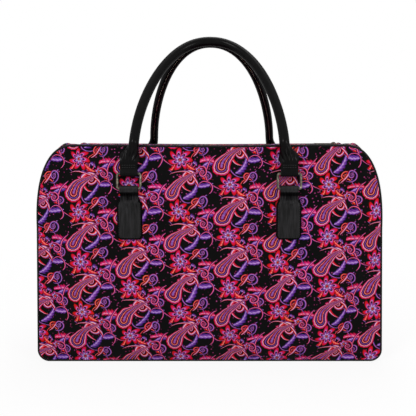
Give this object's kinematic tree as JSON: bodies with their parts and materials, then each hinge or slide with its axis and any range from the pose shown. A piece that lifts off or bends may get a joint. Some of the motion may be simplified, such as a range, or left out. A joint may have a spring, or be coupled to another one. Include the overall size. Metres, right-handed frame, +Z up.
{
  "type": "duffle bag",
  "caption": "Zipped duffle bag of printed cloth with piped rounded panels and rolled leather handles that swing on wire rings.",
  "frame": {"origin": "middle of the base, on the surface that the bag stands on", "axes": "+Z up, +X to the right along the width as seen from the front, front panel towards -Y"},
  "size_m": [0.4484, 0.2422, 0.4212],
  "materials": {
    "printed_cloth": "padded cloth with a dense printed pattern in pinks, reds and violets on near-black",
    "black_leather": "fine-grained black leather, semi-matte, stitched edges",
    "black_piping": "black covered cord, semi-matte",
    "gunmetal": "antique dark grey plating, worn lighter on the edges",
    "zip_tape": "black herringbone woven tape",
    "zip_teeth": "black moulded plastic",
    "fibre_board": "pressed fibre board",
    "cord_filler": "twisted paper and cotton filler cord"
  },
  "bodies": {
    "bag": {"front_panel": "printed_cloth", "back_panel": "printed_cloth", "base_gusset": "printed_cloth", "left_end_gusset": "printed_cloth", "right_end_gusset": "printed_cloth", "front_zip_gusset": "printed_cloth", "back_zip_gusset": "printed_cloth", "front_piping": "black_piping", "back_piping": "black_piping", "base_board": "fibre_board", "front_zip_tape": "zip_tape", "back_zip_tape": "zip_tape", "front_zip_teeth": "zip_teeth", "back_zip_teeth": "zip_teeth", "zip_stops": "gunmetal", "front_left_tab": "black_leather", "front_right_tab": "black_leather", "back_left_tab": "black_leather", "back_right_tab": "black_leather"},
    "front_rings": {"front_left_ring": "gunmetal", "front_right_ring": "gunmetal"},
    "back_rings": {"back_left_ring": "gunmetal", "back_right_ring": "gunmetal"},
    "front_handle": {"front_handle_sleeve": "black_leather", "front_handle_core": "cord_filler"},
    "back_handle": {"back_handle_sleeve": "black_leather", "back_handle_core": "cord_filler"},
    "slider": {"zip_slider": "gunmetal"},
    "puller": {"zip_puller": "gunmetal"}
  },
  "joints": [
    {"name": "front_ring_swing", "type": "hinge", "parent": "bag", "child": "front_rings", "pos_m": [0, -0.11747, 0.224], "axis": [1, 0, 0], "range_deg": [0, 80]},
    {"name": "front_handle_swing", "type": "hinge", "parent": "front_rings", "child": "front_handle", "pos_m": [0, -0.11447, 0.24175], "axis": [1, 0, 0], "range_deg": [0, 95]},
    {"name": "back_ring_swing", "type": "hinge", "parent": "bag", "child": "back_rings", "pos_m": [0, 0.11747, 0.224], "axis": [-1, 0, 0], "range_deg": [0, 80]},
    {"name": "back_handle_swing", "type": "hinge", "parent": "back_rings", "child": "back_handle", "pos_m": [0, 0.11447, 0.24175], "axis": [-1, 0, 0], "range_deg": [0, 95]},
    {"name": "zip_slide", "type": "slide", "parent": "bag", "child": "slider", "axis": [1, 0, 0], "range_m": [-0.341, 0]},
    {"name": "puller_flip", "type": "hinge", "parent": "slider", "child": "puller", "pos_m": [0.1712, 0, 0.27715], "axis": [0, 1, 0], "range_deg": [0, 180]}
  ]
}
